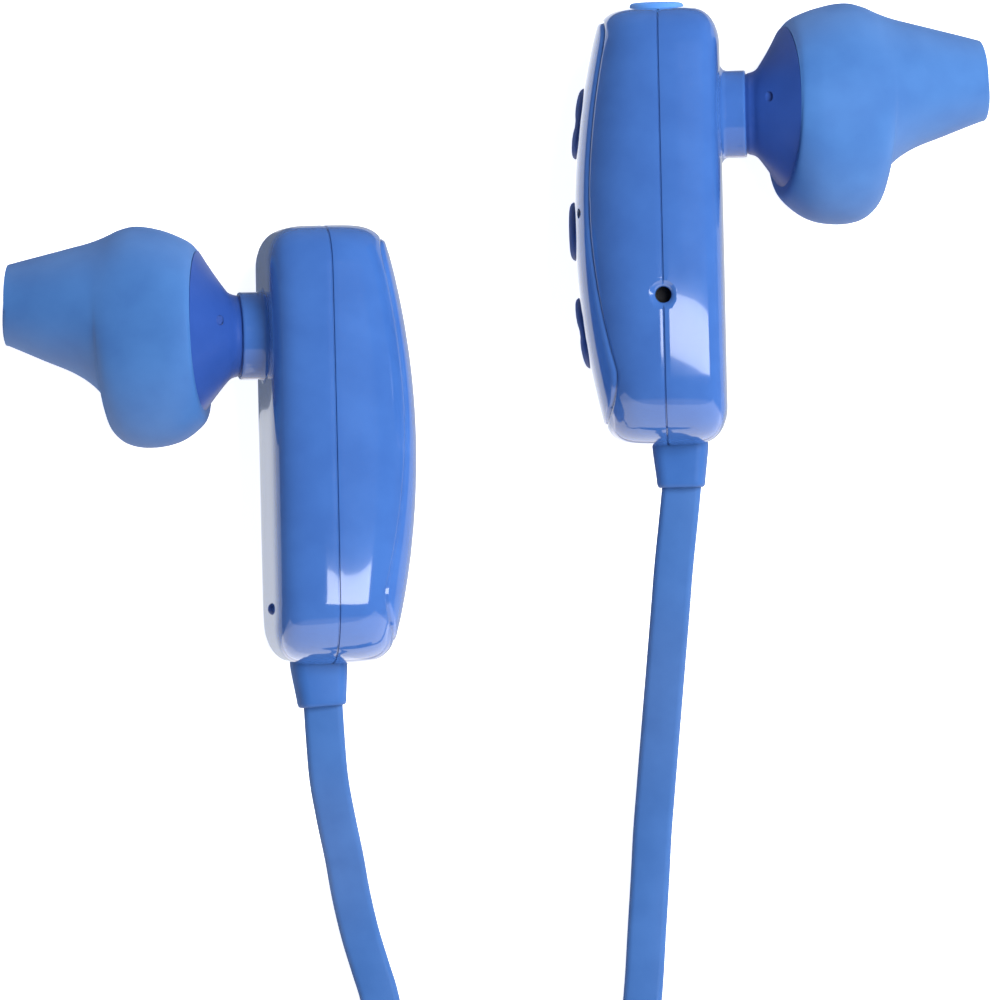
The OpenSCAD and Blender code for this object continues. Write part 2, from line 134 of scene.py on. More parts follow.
# Neck cable, its length in metres; a route's points are x, y, z and the twist of the cable in degrees
CABLE_W = 3.5
CABLE_T = 1.3
LEFT_ROUTE = [
    (-15.1, -30.9, 9.2, 0), (-15, -31.5, 9.2, 0), (-14.8, -34.5, 9, 0), (-14.5, -38, 8.1, 0),
    (-13.9, -41.5, 6.4, 0), (-13.2, -45, 4.4, 0), (-12.6, -48.5, 2.6, 0), (-11.8, -52, 1.4, 0),
    (-10.9, -55, 0.9, 0), (-10, -58, 0.8, 0), (-9.4, -62, 1, 10), (-9.2, -66, 1.3, 28),
    (-9.4, -70, 1.6, 48), (-9.8, -75, 1.8, 68), (-10.4, -80, 1.8, 82), (-11, -85, 1.8, 90),
    (-11.4, -90, 1.8, 90),
]
RIGHT_ROUTE = [
    (17.05, -11.3, 9, 0), (17, -11.9, 9, 0), (16.7, -15, 8.9, 0), (16.3, -19, 8.5, 0), (16, -23, 7.6, 0),
    (15.7, -27, 6.2, 0), (15.4, -31, 4.6, 0), (15.1, -35, 3.1, 0), (14.8, -39, 1.9, 0),
    (14.5, -43, 1.1, 0), (14.3, -47, 0.8, 0), (14, -52, 0.8, 0), (13.7, -57, 0.8, 3),
    (13.2, -61, 1.1, 18), (11.8, -65, 1.5, 40), (9.4, -68.5, 1.7, 62), (6, -71.5, 1.8, 80),
    (2.2, -73.6, 1.8, 90),
]
COIL_AT = (9.0, -92.0)
COIL_Z = 1.8
COIL_PITCH = 3.0
COIL_R = 20.5
TURN_R = 7.25
TIE_ANGLE = -55.0


# ---------- camera ----------

# Point that the camera looks at, the height of its view there and its distance, in millimetres
VIEW_AT = (0.38, -13.0, 9.0)
VIEW_HEIGHT = 89.3
CAMERA_FAR = 1000.0


def add_object(name, data):
    """A new object in the scene, with the given data."""
    obj = bpy.data.objects.new(name, data)
    bpy.context.scene.collection.objects.link(obj)
    return obj


def make_camera():
    """Straight down, from far off, as a product shot from above."""
    data = bpy.data.cameras.new("camera")
    camera = add_object("camera", data)
    camera.location = (VIEW_AT[0] * MM, VIEW_AT[1] * MM, (VIEW_AT[2] + CAMERA_FAR) * MM)
    data.sensor_width = 36
    data.lens = data.sensor_width * CAMERA_FAR / VIEW_HEIGHT
    data.clip_start = 0.05
    data.clip_end = 20
    bpy.context.scene.camera = camera


make_camera()
bpy.context.scene.view_settings.view_transform = "Standard"


# ---------- mesh helpers ----------

def new_object(name, points, faces, sharp=40):
    """A mesh object from points in millimetres and faces, smooth but for edges over sharp degrees."""
    mesh = bpy.data.meshes.new(name)
    mesh.from_pydata((np.asarray(points, float) * MM).tolist(), [], faces)
    obj = add_object(name, mesh)
    tidy(obj, sharp)
    return obj


def tidy(obj, sharp=40):
    """Merges doubled points, turns faces outward and sets the shading."""
    bm = bmesh.new()
    bm.from_mesh(obj.data)
    bmesh.ops.remove_doubles(bm, verts=bm.verts, dist=1e-7)
    bmesh.ops.dissolve_degenerate(bm, edges=bm.edges, dist=1e-8)
    bmesh.ops.recalc_face_normals(bm, faces=bm.faces)
    bm.to_mesh(obj.data)
    bm.free()
    obj.data.polygons.foreach_set("use_smooth", [True] * len(obj.data.polygons))
    obj.data.set_sharp_from_angle(angle=math.radians(sharp))


def loft(name, rings, place, sharp=40, tube=False):
    """A closed skin over closed rings of points.

    The first and the last ring close in a fan to their middle, or a tube joins them to each other.
    """
    rings = [np.asarray(r, float) for r in rings]
    count = len(rings[0])
    points = [place(p) for r in rings for p in r]
    faces = []
    for i in range(len(rings) - (0 if tube else 1)):
        a, b = i * count, (i + 1) % len(rings) * count
        for k in range(count):
            m = (k + 1) % count
            faces.append((a + k, a + m, b + m, b + k))
    if not tube:
        for ring, start in ((rings[0], 0), (rings[-1], (len(rings) - 1) * count)):
            points.append(place(ring.mean(0)))
            faces += [(len(points) - 1, start + k, start + (k + 1) % count) for k in range(count)]
    return new_object(name, points, faces, sharp)


def revolve_rings(profile, count=96):
    """Rings round the z axis from (radius, z) pairs."""
    a = np.linspace(0, 2 * math.pi, count, endpoint=False)
    return [np.stack([r * np.cos(a), r * np.sin(a), np.full(count, z)], 1) for r, z in profile]


def round_box(width, depth, r, steps=6):
    """Outline of a rectangle with round corners, about the origin."""
    a, b = width / 2 - r, depth / 2 - r
    out = []
    for cx, cy, start in ((a, b, 0), (-a, b, 90), (-a, -b, 180), (a, -b, 270)):
        for spin in np.radians(np.linspace(start, start + 90, steps)):
            out.append((cx + r * math.cos(spin), cy + r * math.sin(spin)))
    return np.array(out)


def smooth_curve(points, steps):
    """A smooth curve through the points, with steps points from each to the next."""
    p = np.asarray(points, float)
    p = np.vstack([2 * p[0] - p[1], p, 2 * p[-1] - p[-2]])
    out = []
    for i in range(1, len(p) - 2):
        for t in np.linspace(0, 1, steps, endpoint=False):
            a, b, c, d = p[i - 1:i + 3]
            square = (2 * a - 5 * b + 4 * c - d) * t ** 2
            cube = (3 * b - a - 3 * c + d) * t ** 3
            out.append(0.5 * (2 * b + (c - a) * t + square + cube))
    return np.array(out + [p[-2]])


def cut(obj, cutter, sharp=40):
    """Takes the cutter's solid out of obj."""
    modifier = obj.modifiers.new("cut", "BOOLEAN")
    modifier.operation = "DIFFERENCE"
    modifier.solver = "EXACT"
    modifier.object = cutter
    evaluated = obj.evaluated_get(bpy.context.evaluated_depsgraph_get())
    mesh = bpy.data.meshes.new_from_object(evaluated)
    obj.modifiers.clear()
    spent = (obj.data, cutter.data)
    obj.data = mesh
    bpy.data.objects.remove(cutter)
    for old in spent:
        bpy.data.meshes.remove(old)
    tidy(obj, sharp)


# ---------- where the pods lie ----------

class Pod:
    """Places points of the pod's own frame in the row frame."""

    def __init__(self, node, middle, ear):
        """node is a rectangular block inside the pod and middle its centre in the pod's frame."""
        mesh = frame["nodes"][node].data
        normals = [np.array(p.normal) for p in mesh.polygons]
        toward = [np.array(d, float) for d in ((ear, 0, 0), (0, 1, 0), (0, 0, 1))]
        self.axes = np.array([max(normals, key=lambda n: n @ d) for d in toward])
        low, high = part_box(node)
        centre = np.array((low + high) / 2) / MM
        self.origin = centre - np.array(middle) @ self.axes

    def at(self, p):
        """Where a point of the pod's frame lies in the row frame."""
        return self.origin + np.asarray(p, float) @ self.axes


RIGHT = Pod("bluetooth_module", (-0.9, -5.0, 0.0), 1)
LEFT = Pod("battery_protection_board", (-1.7, 12.1, 0.0), -1)
PODS = {"right": RIGHT, "left": LEFT}


def bud_matrix():
    """The frame of the ear tip's seam in the pod's: z along the bud, y up, x toward the pod's back."""
    lean = Matrix.Rotation(math.radians(90 + BUD_BACK), 4, "Y")
    droop = Matrix.Rotation(math.radians(-BUD_DROOP), 4, "Z")
    return Matrix.Translation(SEAM_AT) @ droop @ lean


BUD = bud_matrix()


def bud_place(pod):
    """Function that maps a point of the bud's frame to the row frame."""
    return lambda p: pod.at(BUD @ Vector(p))


# ---------- body of a pod ----------

# Each end's rounding: its reach along the pod, and the powers of its curve
EAR_END = (3.6, 4.5, 2.0)
OUTER_END = (1.9, 5.0, 2.0)
TOP_END = (4.5, 4.0, 2.2)
BOTTOM_END = (6.0, 3.0, 2.0)
# Section across the pod: the power of its corner, and the share by which the front drops to the corner
EAR_SECTION = (7.0, 0.13)
OUTER_SECTION = (3.3, 0.12)
# Halvings that find a point of the skin, and a share of a ray
SKIN_HALVINGS = 34
SHARE_HALVINGS = 40


def end_share(v, reach, across, along):
    """Share of its full size that the body keeps at height v."""
    y = np.clip((np.abs(v) - (HALF_HEIGHT - reach)) / reach, 0, 1)
    return (1 - y ** along) ** (1 / across)


def depth_at(v):
    """Half depth of the body at height v."""
    share = np.where(v > 0, end_share(v, *TOP_END), end_share(v, *BOTTOM_END))
    return HALF_DEPTH * share * (1 - FRONT_CROWN * (v / HALF_HEIGHT) ** 2)


def bow_at(v):
    """Reach of the outer side at height v, before its ends are rounded."""
    return np.sqrt(BOW_R ** 2 - np.asarray(v, float) ** 2) - BOW_R + CROWN


def skin_u(outer, v, w):
    """How far the skin stands from the parting plane at (v, w)."""
    power, arch = OUTER_SECTION if outer else EAR_SECTION
    reach = bow_at(v) * end_share(v, *OUTER_END) if outer else EAR_SIDE * end_share(v, *EAR_END)
    across = np.clip(np.abs(w) / np.maximum(depth_at(v), 1e-9), 0, 1)
    low, high = np.zeros_like(across), np.ones_like(across)
    for _ in range(SKIN_HALVINGS):
        middle = (low + high) / 2
        keep = middle ** power + (across / (1 - arch * middle ** 2)) ** power < 1
        low, high = np.where(keep, middle, low), np.where(keep, high, middle)
    return reach * low


def parting_outline():
    """The body's outline in the parting plane as ROUND points (v, w), evenly spaced."""
    half = []
    for end, sign in ((TOP_END, 1), (BOTTOM_END, -1)):
        reach, across, along = end
        a = np.linspace(0, math.pi / 2, 400)
        v = HALF_HEIGHT - reach + reach * np.sin(a) ** (2 / along)
        v = np.concatenate([np.linspace(0, v[0], 50, endpoint=False), v]) * sign
        half.append(np.stack([v, depth_at(v)], 1))
    side = np.vstack([half[1][::-1], half[0][1:]])
    loop = np.vstack([side, side[::-1][1:-1] * [1, -1]])
    loop = np.vstack([loop, loop[:1]])
    walked = np.concatenate([[0], np.cumsum(np.linalg.norm(np.diff(loop, axis=0), axis=1))])
    at = np.linspace(0, walked[-1], ROUND, endpoint=False)
    return np.stack([np.interp(at, walked, loop[:, i]) for i in (0, 1)], 1)


EDGE = parting_outline()


def edge_normals():
    """Outward directions of the outline at its points."""
    along = np.roll(EDGE, -1, 0) - np.roll(EDGE, 1, 0)
    n = np.stack([along[:, 1], -along[:, 0]], 1)
    n *= np.sign((n * EDGE).sum(1))[:, None]
    return n / np.linalg.norm(n, axis=1)[:, None]


EDGE_NORMALS = edge_normals()


def solve(inside):
    """Largest share of each ray, from the middle to the outline, at which inside(v, w) holds."""
    low, high = np.zeros(ROUND), np.ones(ROUND)
    for _ in range(SHARE_HALVINGS):
        middle = (low + high) / 2
        keep = inside(EDGE[:, 0] * middle, EDGE[:, 1] * middle)
        low, high = np.where(keep, middle, low), np.where(keep, high, middle)
    return low


def skin_ring(outer, share, sink=0.0):
    """Ring of skin points at a share of each ray, sunk toward the parting plane."""
    v, w = EDGE[:, 0] * share, EDGE[:, 1] * share
    u = skin_u(outer, v, w) - sink
    return np.stack([-u if outer else u, v, w], 1)


def level_ring(outer, level):
    """Ring where the skin stands at the given level, or levels, above the parting plane."""
    share = solve(lambda v, w: skin_u(outer, v, w) > level)
    ring = skin_ring(outer, share)
    ring[:, 0] = -level if outer else level
    return ring


def edge_ring(outer, u, inward):
    """Ring beside the parting line, moved inward in the parting plane."""
    flat = EDGE - EDGE_NORMALS * inward
    side = -1 if outer else 1
    return np.stack([np.full(ROUND, side * u), flat[:, 0], flat[:, 1]], 1)


def parting_rings(outer):
    """Rounded edge of a shell at the parting line; the ear side's lip reaches across the gap."""
    deep = PARTING_GAP if outer else 0.004 - PARTING_GAP
    return [edge_ring(outer, PARTING_GAP + 0.04, 0.02), edge_ring(outer, PARTING_GAP + 0.005, 0.07),
            edge_ring(outer, PARTING_GAP, 0.15), edge_ring(outer, deep, 0.16), edge_ring(outer, deep, WALL)]


def inside_rings(outer, rings, depth):
    """The shell's inner wall: the skin's rings drawn in by the wall."""
    out = []
    for ring in rings:
        v, w = ring[:, 1], ring[:, 2]
        u = np.maximum(np.abs(ring[:, 0]) * (1 - depth / (CROWN if outer else EAR_SIDE)), PARTING_GAP)
        shrunk = [-u if outer else u, v * (1 - WALL / HALF_HEIGHT), w * (1 - WALL / HALF_DEPTH)]
        out.append(np.stack(shrunk, 1))
    return out


def panel_half_width(v, grow):
    """Half width of the face panel at height v: slim above, wider below, with round ends."""
    low_start, low_reach = -12.5, 5.3 + grow
    high_start, high_reach = 13.5, 4.8 + grow
    low = np.clip((low_start - v) / low_reach, 0, 1)
    high = np.clip((v - high_start) / high_reach, 0, 1)
    end = (1 - low ** 2) ** 0.5 * (1 - high ** 4) ** 0.25
    return (5.85 + 0.045 * (np.hypot(v - 1, 3) - (v - 1)) + grow) * end


def panel_share(grow):
    """Shares of the rays at which the face panel ends, grown by that much."""
    return solve(lambda v, w: np.abs(w) < panel_half_width(v, grow))


# The skin's rings end this far above the parting plane; the shell's rounded edge follows
EDGE_LEVEL = PARTING_GAP + 0.1


def outer_shell(side):
    """Outer shell with the pocket of its face panel."""
    gap, deep, steps = 0.1, 1.1, 26
    pocket = panel_share(gap)
    rings = [skin_ring(True, pocket * s, deep) for s in (0.15, 0.4, 0.7, 0.92, 1)]
    for grow, sink in ((0, 0.22), (0.04, 0.09), (0.12, 0.02)):
        rings.append(skin_ring(True, panel_share(gap + grow), sink))
    skin = [skin_ring(True, panel_share(gap + 0.26))]
    height = skin[0][:, 0] * -1
    skin += [level_ring(True, height * (1 - k / steps) + EDGE_LEVEL) for k in range(1, steps)]
    rings += skin + parting_rings(True)
    rings += inside_rings(True, skin[::-2] + rings[2:0:-1], 2.2)
    return loft(side + "_outer_shell_skin", rings, PODS[side].at)


def inner_shell(side):
    """Inner shell, the ear side of the pod."""
    steps, top = 22, 0.86
    shares = (0.1, 0.3, 0.5, 0.65, 0.75, 0.83, 0.89, 0.94, 0.97, 1)
    face = [skin_ring(False, np.full(ROUND, top * s)) for s in shares]
    height = face[-1][:, 0]
    skin = [level_ring(False, height * (1 - k / steps) + EDGE_LEVEL) for k in range(1, steps)]
    rings = face + skin + parting_rings(False)
    rings += inside_rings(False, skin[::-2] + face[::-2], WALL)
    return loft(side + "_inner_shell_skin", rings, PODS[side].at)


def face_panel(side):
    """Thin crowned panel in the outer shell's pocket, a little proud of it."""
    sink, back = -PANEL_PROUD, 0.95
    edge = panel_share(0)
    rings = [skin_ring(True, edge * s, sink) for s in (0.08, 0.2, 0.35, 0.5, 0.62, 0.72, 0.8, 0.87, 0.92)]
    for grow, drop in ((-0.28, 0), (-0.14, 0.03), (-0.04, 0.1), (0, 0.2)):
        rings.append(skin_ring(True, panel_share(grow), sink + drop))
    rings += [skin_ring(True, edge * s, back) for s in (1, 0.9, 0.6, 0.3)]
    return loft(side + "_face_panel_skin", rings, PODS[side].at)


# ---------- controls ----------

def stadium(length, width, count=64):
    """Outline (v, w) of a slot, long along v."""
    a = np.linspace(0, 2 * math.pi, count, endpoint=False) + math.pi / count
    run = (length - width) / 2
    return np.stack([np.cos(a) * width / 2 + run * np.sign(np.cos(a)), np.sin(a) * width / 2], 1)


def panel_cutter(outline, at):
    """Hole with an outline in v and w, through the right pod's face panel."""
    flat = outline + np.array(at)
    return loft("hole", [np.column_stack([np.full(len(flat), u), flat]) for u in (-10, -3)], RIGHT.at)


def button(name, v0, size, grooved):
    """Button with a domed top, a rounded rim and, on a volume button, a finger groove."""
    outline = stadium(*size)
    rings = []
    for s, drop in BUTTON_RIM:
        v, w = outline[:, 0] * s, outline[:, 1] * s
        base = skin_u(True, v + v0, np.zeros_like(v)) + PANEL_PROUD - w ** 2 / 36
        dip = GROOVE_DEPTH * np.exp(-(v / 0.75) ** 2) if grooved and drop < 0.3 else 0
        rings.append(np.stack([-(base + BUTTON_PROUD - drop - dip), v + v0, w], 1))
    return loft(name, rings, RIGHT.at, 60)


def ring_in_uw(outline, v):
    """Ring across the pod at height v, from an outline in u and w."""
    return np.stack([outline[:, 0], np.full(len(outline), v), outline[:, 1]], 1)


def port_outline(size):
    """Slot-shaped outline (u, w) round the charging port's middle."""
    return stadium(*size)[:, ::-1] + (PORT_U, 0)


def port_cover():
    """Rubber cover of the charging port, with a soft crowned top and the plug under it."""
    top = HALF_HEIGHT + COVER_PROUD
    middle = np.array((PORT_U, 0))
    cap = port_outline(COVER_CAP)
    plug = port_outline(COVER_PLUG)
    crown = [(0.15, 0), (0.4, 0.01), (0.65, 0.04), (0.82, 0.08), (0.92, 0.13), (0.975, 0.22), (1, 0.36),
             (1, 0.78), (0.97, 0.8)]
    rings = [ring_in_uw(middle + (cap - middle) * share, top - drop) for share, drop in crown]
    rings += [ring_in_uw(plug, HALF_HEIGHT - v) for v in (0.28, 1.25)]
    rings += [ring_in_uw(middle + (plug - middle) * 0.9, HALF_HEIGHT - 1.4)]
    return loft("port_cover_cap", rings, RIGHT.at, 50)


def end_cutter(outline, depth):
    """Hole with an outline in u and w, that deep into the pod's top end."""
    return loft("hole", [ring_in_uw(outline, v) for v in (HALF_HEIGHT - depth, ABOVE_POD)], RIGHT.at)


def mic_cutter():
    """Microphone hole with the shallow dish round it."""
    profile = [(0.72, -2.4), (0.72, -0.34), (0.8, -0.22), (1.0, -0.13), (1.25, -0.02), (1.5, 0.2), (1.5, 1)]
    rings = revolve_rings(profile, 48)
    shift = np.array((0.0, MIC_V, float(depth_at(np.array(MIC_V)))))
    return loft("hole", [r + shift for r in rings], RIGHT.at)


def make_controls(panel, outer, inner):
    """Cuts the holes into the panel and the shells, and adds what sits in them."""
    for name, v in BUTTONS.items():
        play = name == "play"
        cut(panel, panel_cutter(stadium(*(PLAY_OPENING if play else VOLUME_OPENING)), (v, 0)))
        shape = button(name + "_button_cap", v, PLAY_SIZE if play else VOLUME_SIZE, not play)
        finish_piece(shape, name, "button_blue", name + "_button")
    cut(panel, panel_cutter(stadium(*LED_HOLE, 32), LED_AT))
    profile = [(0.2, CROWN - 0.35), (0.35, CROWN - 0.37), (0.43, CROWN - 0.45), (0.44, CROWN - 0.55),
               (0.44, 3.2), (0.3, 3.2)]
    pipe = [r[:, [2, 0, 1]] * (-1, 1, 1) + (0, *LED_AT) for r in revolve_rings(profile, 32)]
    finish_piece(loft("light_pipe_lens", pipe, RIGHT.at), "pods", "clear_pipe", "led_light_pipe")
    profile = [(0.3, 6.5), (0.69, 6.5), (0.69, 6.62), (0.3, 6.62)]
    screen = [r + (0, MIC_V, 0) for r in revolve_rings(profile, 32)]
    finish_piece(loft("microphone_dust_screen", screen, RIGHT.at), "pods", "foam")
    for shell in (outer, inner):
        cut(shell, mic_cutter())
        cut(shell, end_cutter(port_outline(COVER_SEAT), 0.3))
        cut(shell, end_cutter(port_outline(SOCKET_POCKET), 3))
        cut(shell, end_cutter(round_box(2.2, 2.2, 0.1, 2) + (PORT_U, ANCHOR_W), 1.5))
    finish_piece(port_cover(), "charging_cover", "cover_rubber", "port_cover")


# ---------- pieces' bookkeeping ----------

def paint(obj, slot):
    """Gives an object the finish of a material slot."""
    obj.data.materials.clear()
    obj.data.materials.append(MATERIALS[slot])


def finish_piece(obj, body, slot, *nodes):
    """Gives a piece its body and its finish, and hides the CAD nodes that it stands for."""
    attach(obj, body)
    paint(obj, slot)
    if nodes:
        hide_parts(*nodes)


# ---------- materials ----------

def linear(r, g, b):
    """Colour as the shader wants it, from the 0 to 255 values of a screen."""
    return [((c / 255 + 0.055) / 1.055) ** 2.4 if c > 10 else c / 3295 for c in (r, g, b)] + [1]


def finish(name, dark, light, rough, grain, bump, coat=0.0, metal=0.0, spread=250, specular=0.5):
    """Shader with a soft variation of colour and roughness and a fine surface grain.

    dark and light are the colours it varies between, rough the lowest and highest roughness,
    grain the grain's scale and bump its height in millimetres.
    """
    material = bpy.data.materials.new(name)
    material.use_nodes = True
    nodes, links = material.node_tree.nodes, material.node_tree.links
    shader = nodes["Principled BSDF"]
    place = nodes.new("ShaderNodeTexCoord")
    cloud = nodes.new("ShaderNodeTexNoise")
    cloud.inputs["Scale"].default_value = spread
    cloud.inputs["Detail"].default_value = 3
    links.new(place.outputs["Object"], cloud.inputs["Vector"])
    ramp = nodes.new("ShaderNodeValToRGB")
    ramp.color_ramp.elements[0].position = 0.35
    ramp.color_ramp.elements[0].color = linear(*dark)
    ramp.color_ramp.elements[1].position = 0.65
    ramp.color_ramp.elements[1].color = linear(*light)
    links.new(cloud.outputs["Fac"], ramp.inputs["Fac"])
    links.new(ramp.outputs["Color"], shader.inputs["Base Color"])
    span = nodes.new("ShaderNodeMapRange")
    span.inputs["To Min"].default_value, span.inputs["To Max"].default_value = rough
    links.new(cloud.outputs["Fac"], span.inputs["Value"])
    links.new(span.outputs["Result"], shader.inputs["Roughness"])
    fine = nodes.new("ShaderNodeTexNoise")
    fine.inputs["Scale"].default_value = grain
    fine.inputs["Detail"].default_value = 4
    links.new(place.outputs["Object"], fine.inputs["Vector"])
    relief = nodes.new("ShaderNodeBump")
    relief.inputs["Strength"].default_value = 1
    relief.inputs["Distance"].default_value = bump * MM
    links.new(fine.outputs["Fac"], relief.inputs["Height"])
    links.new(relief.outputs["Normal"], shader.inputs["Normal"])
    shader.inputs["Metallic"].default_value = metal
    shader.inputs["Coat Weight"].default_value = coat
    shader.inputs["Coat Roughness"].default_value = 0.03
    shader.inputs["Specular IOR Level"].default_value = specular
    return material


MATERIALS = {
    "shell_blue": finish("shell_blue", (52, 91, 157), (56, 97, 164), (0.08, 0.12), 1400, 0.0004, coat=1.0),
    "panel_blue": finish("panel_blue", (55, 95, 163), (59, 101, 170), (0.08, 0.12), 1400, 0.0004, coat=1.0),
    "button_blue": finish("button_blue", (38, 66, 130), (44, 74, 142), (0.32, 0.4), 2600, 0.004),
    "cover_rubber": finish("cover_rubber", (80, 134, 206), (86, 142, 214), (0.42, 0.5), 3000, 0.005),
    "bud_blue": finish("bud_blue", (36, 67, 136), (40, 72, 143), (0.3, 0.38), 2600, 0.004),
    "tip_silicone": finish("tip_silicone", (58, 100, 158), (63, 107, 165), (0.44, 0.54), 3000, 0.006),
    "relief_rubber": finish("relief_rubber", (49, 89, 150), (54, 95, 157), (0.36, 0.44), 2600, 0.005),
    "cable_jacket": finish("cable_jacket", (54, 92, 149), (59, 98, 156), (0.36, 0.46), 2200, 0.006),
    "tie_rubber": finish("tie_rubber", (36, 76, 150), (42, 84, 160), (0.5, 0.6), 2600, 0.008),
    "seal_silicone": finish("seal_silicone", (40, 44, 50), (48, 52, 58), (0.5, 0.6), 2600, 0.006),
    "foam": finish("foam", (34, 34, 36), (46, 46, 48), (0.8, 0.95), 3000, 0.05, specular=0.2),
    "board_green": finish("board_green", (20, 84, 50), (28, 98, 60), (0.3, 0.42), 1200, 0.006, spread=900),
    "switch_body": finish("switch_body", (52, 52, 54), (62, 62, 64), (0.4, 0.5), 2600, 0.004),
    "plated_metal": finish("plated_metal", (196, 196, 200), (212, 212, 214), (0.24, 0.34),
                           1800, 0.003, metal=1.0),
    "metal_mesh": finish("metal_mesh", (110, 110, 114), (150, 150, 154), (0.3, 0.45),
                         5200, 0.08, metal=1.0),
    "led_white": finish("led_white", (236, 236, 226), (244, 244, 236), (0.2, 0.3), 2600, 0.002),
    "clear_pipe": finish("clear_pipe", (30, 38, 58), (38, 46, 66), (0.08, 0.14), 1400, 0.001, coat=0.4),
    "cell_foil": finish("cell_foil", (176, 178, 182), (196, 198, 202), (0.3, 0.45), 700, 0.03, metal=1.0),
    "wire_red": finish("wire_red", (170, 26, 24), (186, 34, 30), (0.3, 0.4), 2600, 0.003),
}


def paint_cad_nodes():
    """Every CAD node that stays in sight gets its record slot's finish."""
    for part in record["subparts"]:
        paint(frame["nodes"][part["node"]], part["material_slot"])


paint_cad_nodes()


# ---------- neck cable ----------

def coil_point(angle, radius, shift, lift):
    """Point of the route at an angle and a radius round the coil's middle, moved along x."""
    spin = math.radians(angle)
    x = COIL_AT[0] + (radius * math.cos(spin) + shift)
    return x, COIL_AT[1] + radius * math.sin(spin), COIL_Z + lift, 90


def coil_arm(start, end, radius, from_angle):
    """Points of one arm of the coil, whose radius falls by COIL_PITCH a turn after from_angle."""
    count = int(abs(end - start) / 8)
    out = []
    for a in np.linspace(start, end, count + 1):
        r = radius - COIL_PITCH * (a - from_angle) / 360
        out.append(coil_point(a, r, 0, tie_lift(a)))
    return out


def tie_lift(angle):
    """How far the turns rise where they pass over the tie's lower strap."""
    rise, half_span = 0.4, 9
    off = (angle - TIE_ANGLE + 180) % 360 - 180
    return rise * math.exp(-(off / half_span) ** 4)


def turn_back(radius):
    """The S in the coil's middle, from its inward arm to its outward one."""
    left = [coil_point(a, radius, -radius, 0) for a in np.linspace(180, 360, 13)[1:]]
    right = [coil_point(a, radius, radius, 0) for a in np.linspace(180, 0, 13)[1:-1]]
    return left + right


def cable_route():
    """The whole route: from the left pod, through the coil and its turn, to the right pod."""
    inward = coil_arm(180, 900, COIL_R, 180)
    outward = coil_arm(720, 115, COIL_R - COIL_PITCH / 2, 180)
    return LEFT_ROUTE + inward + turn_back(TURN_R) + outward + RIGHT_ROUTE[::-1]


def neck_cable():
    """The flat cable in one strip, and its path in metres."""
    path = smooth_curve(cable_route(), 4)
    section = round_box(CABLE_W, CABLE_T, 0.55, 5)
    rings = []
    for i, p in enumerate(path):
        ahead = path[min(i + 1, len(path) - 1), :3] - path[max(i - 1, 0), :3]
        ahead /= np.linalg.norm(ahead)
        side = np.cross(ahead, (0, 0, 1))
        side /= np.linalg.norm(side)
        up = np.cross(side, ahead)
        q = math.radians(p[3])
        wide = side * math.cos(q) + up * math.sin(q)
        thin = up * math.cos(q) - side * math.sin(q)
        rings.append(p[:3] + np.outer(section[:, 0], wide) + np.outer(section[:, 1], thin))
    obj = loft("neck_cable", rings, lambda p: p, 50)
    finish_piece(obj, "pods", "cable_jacket", "neck_cable_left", "neck_cable_right", "neck_cable_coil")
    return obj, path[:, :3] * MM


def cable_tie():
    """Strap round the coil's turns, with rounded corners and edges."""
    low_r, high_r, low_z, high_z = 13.75, 20.65, 0.0, 4.3
    corner, thick, half = 0.9, 0.4, 2.0
    loop = []
    for cx, cz, start in ((high_r - corner, high_z - corner, 0), (low_r + corner, high_z - corner, 90),
                          (low_r + corner, low_z + corner, 180), (high_r - corner, low_z + corner, 270)):
        for step in range(7):
            loop.append((cx, cz, math.radians(start + step * 15)))
    section = [(0, -half + 0.12), (0, half - 0.12), (0.12, half), (thick - 0.12, half),
               (thick, half - 0.12), (thick, -half + 0.12), (thick - 0.12, -half), (0.12, -half)]
    spin = math.radians(TIE_ANGLE)
    out_axis = np.array((math.cos(spin), math.sin(spin), 0))
    along = np.array((-math.sin(spin), math.cos(spin), 0))
    rings = []
    for cx, cz, a in loop:
        rings.append([(cx + (corner - depth) * math.cos(a), run, cz + (corner - depth) * math.sin(a))
                      for depth, run in section])
    middle = np.array((*COIL_AT, 0))
    obj = loft("cable_tie_strap", rings,
               lambda p: middle + out_axis * p[0] + along * p[1] + np.array((0, 0, p[2])), 60, tube=True)
    finish_piece(obj, "pods", "tie_rubber", "cable_tie")
    return obj


cable, cable_path = neck_cable()
tie = cable_tie()


# ---------- ear buds ----------

def stem(side):
    """Stem with a fillet to the pod's ear side and a bore for the wires."""
    bore, sunk = 1.8, 0.7
    fillet = [(0.7, -sunk), (0.7, -0.1), (0.42, 0.02), (0.26, 0.08), (0.12, 0.2), (0.04, 0.36), (0, 0.55)]
    profile = [(STEM_R + grow, EAR_SIDE + rise) for grow, rise in fillet]
    top = EAR_SIDE + STEM_LENGTH
    profile += [(STEM_R, top - 0.3), (STEM_R, top - 0.15), (STEM_R - 0.05, top - 0.05)]
    profile += [(STEM_R - 0.15, top), (bore, top), (bore, EAR_SIDE - sunk)]
    rings = [r[:, [2, 0, 1]] + (0, STEM_V, 0) for r in revolve_rings(profile)]
    return loft(side + "_stem", rings, PODS[side].at, 50, tube=True)


def from_pod(points):
    """Points of the pod's frame in the bud's."""
    back = BUD.inverted()
    return np.array([back @ Vector(p) for p in points])


def neck_rings(profile, count):
    """Rings round the neck's axis, in the bud's frame, from (radius, u past the stem's end) pairs."""
    middle = (NECK_U, STEM_V, 0)
    return [from_pod(r[:, [2, 1, 0]] * (1, 1, -1) + middle) for r in revolve_rings(profile, count)]


